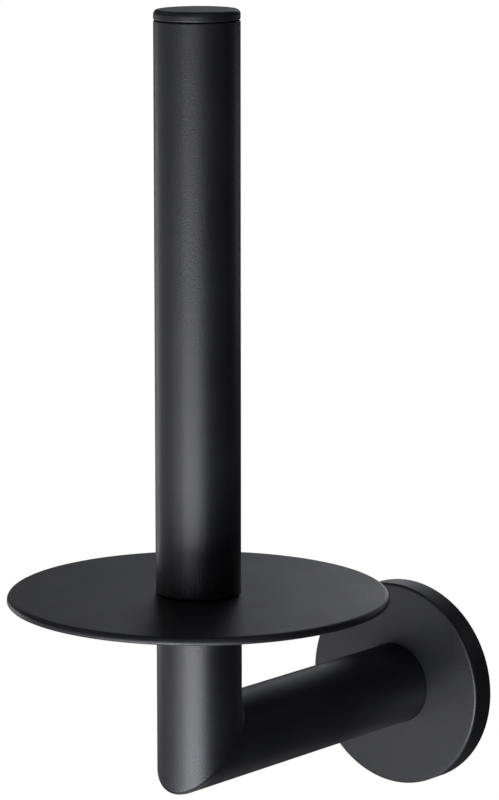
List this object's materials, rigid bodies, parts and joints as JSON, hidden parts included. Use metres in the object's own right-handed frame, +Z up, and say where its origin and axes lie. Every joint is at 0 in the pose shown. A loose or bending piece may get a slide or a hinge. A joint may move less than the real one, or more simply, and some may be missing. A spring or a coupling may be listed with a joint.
{
  "type": "spare toilet roll holder",
  "caption": "Wall holder for a spare toilet roll: an upright tube post through a round plate, on a mitred arm with a round rosette over a hidden wall plate.",
  "frame": {"origin": "centre of the wall plate's back face, on the wall and on the arm's axis", "axes": "+Y into the wall, +Z up along the post, +X to the right as seen from in front of the wall"},
  "size_m": [0.1, 0.141, 0.222],
  "materials": {
    "black_coating": "fine-textured matt powder coat",
    "stainless_steel": "turned",
    "dark_screw_steel": "blackened",
    "rubber": "matt"
  },
  "bodies": {
    "wall_bracket": {"wall_plate": "stainless_steel"},
    "holder": {"rosette": "black_coating", "arm_tube": "black_coating", "lower_post": "black_coating", "lower_plug": "stainless_steel", "joining_stud": "stainless_steel", "roll_plate": "black_coating", "upper_plug": "stainless_steel", "upper_post": "black_coating", "end_cap": "black_coating", "cap_ring": "rubber"},
    "grub_screw": {"grub_screw": "dark_screw_steel"}
  },
  "joints": [
    {"name": "lift_off", "type": "slide", "parent": "wall_bracket", "child": "holder", "axis": [0, -1, 0], "range_m": [0, 0.012]},
    {"name": "grub_screw_travel", "type": "slide", "parent": "holder", "child": "grub_screw", "axis": [0, 0, -1], "range_m": [0, 0.0028]}
  ]
}
